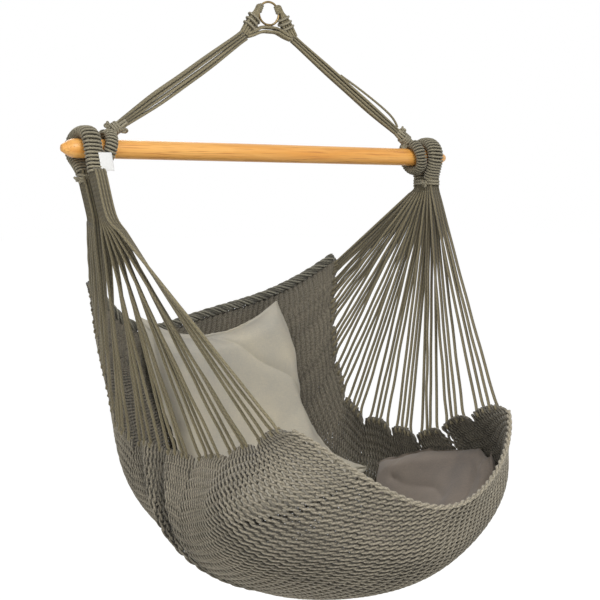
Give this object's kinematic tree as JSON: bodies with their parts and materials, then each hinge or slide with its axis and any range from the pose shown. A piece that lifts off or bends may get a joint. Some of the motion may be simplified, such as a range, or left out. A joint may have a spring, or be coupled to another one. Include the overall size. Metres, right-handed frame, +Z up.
{
  "type": "hanging hammock chair",
  "caption": "Hanging hammock chair: metal ring, cord bundles, round wooden spreader bar, fans of cord and a deep knotted net seat with scalloped sides and two loose cushions.",
  "frame": {"origin": "where a hook bears inside the top of the hanging ring", "axes": "+Z up, X along the spreader bar with +X at the sitter's left, and the sitter faces -Y"},
  "size_m": [1, 0.9467, 1.2916],
  "materials": {
    "brass": "antique, satin",
    "wood": "oiled, satin",
    "cord": "braided cotton cord, matte",
    "whipping": "twisted cotton cord, matte",
    "net": "knotted cotton net, matte",
    "linen": "slubbed linen weave, matte",
    "taupe": "plain weave, matte",
    "label": "woven tape, blank"
  },
  "bodies": {
    "ring": {"hanging_ring": "brass", "hitch_hank": "cord", "hitch_core_left": "cord", "hitch_core_right": "cord", "hitch_turns_left": "whipping", "hitch_turns_right": "whipping"},
    "hanger": {"hanger_cord_left_1": "cord", "hanger_cord_left_2": "cord", "hanger_cord_left_3": "cord", "hanger_cord_left_4": "cord", "hanger_cord_left_5": "cord", "hanger_cord_left_6": "cord", "hanger_cord_right_1": "cord", "hanger_cord_right_2": "cord", "hanger_cord_right_3": "cord", "hanger_cord_right_4": "cord", "hanger_cord_right_5": "cord", "loose_cord": "cord", "hanger_loop_left": "cord", "hanger_loop_right": "cord", "hanger_whipping_left": "whipping", "hanger_whipping_right": "whipping", "hanger_knot_left": "whipping", "hanger_knot_right": "whipping"},
    "bar": {"spreader_bar": "wood"},
    "seat": {"seat_loop_left": "cord", "seat_loop_right": "cord", "seat_whipping_left": "whipping", "seat_whipping_right": "whipping", "throat_collar_left": "whipping", "throat_collar_right": "whipping", "fan_left_01": "cord", "fan_left_02": "cord", "fan_left_03": "cord", "fan_left_04": "cord", "fan_left_05": "cord", "fan_left_06": "cord", "fan_left_07": "cord", "fan_left_08": "cord", "fan_left_09": "cord", "fan_left_10": "cord", "fan_left_11": "cord", "fan_right_01": "cord", "fan_right_02": "cord", "fan_right_03": "cord", "fan_right_04": "cord", "fan_right_05": "cord", "fan_right_06": "cord", "fan_right_07": "cord", "fan_right_08": "cord", "fan_right_09": "cord", "fan_right_10": "cord", "fan_right_11": "cord", "seat_net": "net", "back_rim_rope": "net", "front_rim_rope": "net", "care_label": "label"},
    "back_cushion": {"back_cushion": "linen"},
    "side_cushion": {"side_cushion": "taupe"}
  },
  "joints": [
    {"name": "fore_aft_swing", "type": "hinge", "parent": "ring", "child": "hanger", "pos_m": [0, 0, -0.075], "axis": [1, 0, 0], "range_deg": [-25, 25]},
    {"name": "bar_spin", "type": "hinge", "parent": "hanger", "child": "bar", "pos_m": [0, 0, -0.332], "axis": [1, 0, 0], "continuous": true},
    {"name": "seat_rock", "type": "hinge", "parent": "hanger", "child": "seat", "pos_m": [0, 0, -0.332], "axis": [1, 0, 0], "range_deg": [-30, 30]},
    {"name": "back_cushion_lift", "type": "slide", "parent": "seat", "child": "back_cushion", "axis": [0, -0.6, 0.8], "range_m": [0, 0.15]},
    {"name": "side_cushion_lift", "type": "slide", "parent": "seat", "child": "side_cushion", "axis": [-0.6, 0, 0.8], "range_m": [0, 0.2]}
  ]
}
